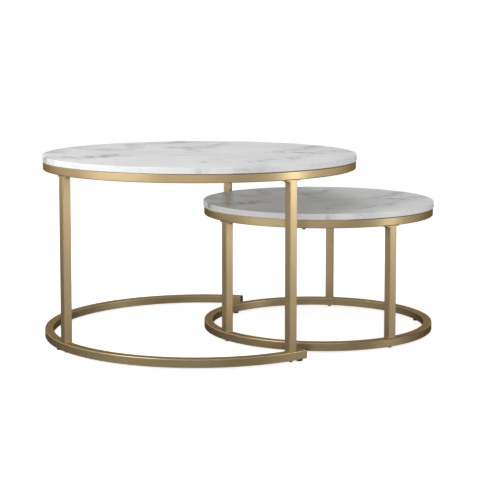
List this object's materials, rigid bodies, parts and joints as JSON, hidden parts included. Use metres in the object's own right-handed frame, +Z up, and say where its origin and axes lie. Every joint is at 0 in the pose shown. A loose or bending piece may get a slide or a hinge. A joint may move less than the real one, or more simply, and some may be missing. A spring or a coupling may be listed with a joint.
{
  "type": "nesting tables",
  "caption": "Pair of round nesting coffee tables: marble-look tops on square-tube frames, the small one sliding under the large one through its open base ring.",
  "frame": {"origin": "on the floor, at the bottom centre of the bounding box of both tables as they stand, the small one pulled out by 314 mm", "axes": "+X is the direction in which the small table pulls out, through the open side of the large base ring; +Z is up"},
  "size_m": [1.014, 0.8, 0.468],
  "materials": {
    "marble_laminate": "satin white marble-look laminate on fibreboard",
    "brass_paint": "satin champagne gold",
    "black_plastic": "matt black",
    "black_steel": "black oxide",
    "zinc_steel": "zinc plated"
  },
  "bodies": {
    "large_table": {"large_top_board": "marble_laminate", "large_top_ring": "brass_paint", "large_leg_front": "brass_paint", "large_leg_back": "brass_paint", "large_leg_rear": "brass_paint", "large_plate_front": "brass_paint", "large_plate_back": "brass_paint", "large_plate_rear": "brass_paint", "large_leg_nuts": "zinc_steel", "large_base_ring": "brass_paint", "large_base_bolts": "black_steel", "large_base_washers": "zinc_steel", "large_plate_screws": "black_steel", "large_board_screws": "zinc_steel", "large_end_plug_front": "black_plastic", "large_end_plug_back": "black_plastic", "large_glide_front": "black_plastic", "large_glide_back": "black_plastic", "large_glide_rear": "black_plastic"},
    "small_table": {"small_top_board": "marble_laminate", "small_top_ring": "brass_paint", "small_leg_front": "brass_paint", "small_leg_back": "brass_paint", "small_leg_rear": "brass_paint", "small_plate_front": "brass_paint", "small_plate_back": "brass_paint", "small_plate_rear": "brass_paint", "small_leg_nuts": "zinc_steel", "small_base_ring": "brass_paint", "small_base_bolts": "black_steel", "small_base_washers": "zinc_steel", "small_plate_screws": "black_steel", "small_board_screws": "black_steel", "small_board_washers": "brass_paint", "small_glide_front": "black_plastic", "small_glide_back": "black_plastic", "small_glide_rear": "black_plastic"}
  },
  "joints": [
    {"name": "small_table_slide", "type": "slide", "parent": "large_table", "child": "small_table", "axis": [1, 0, 0], "range_m": [-0.39, 0.39]}
  ]
}
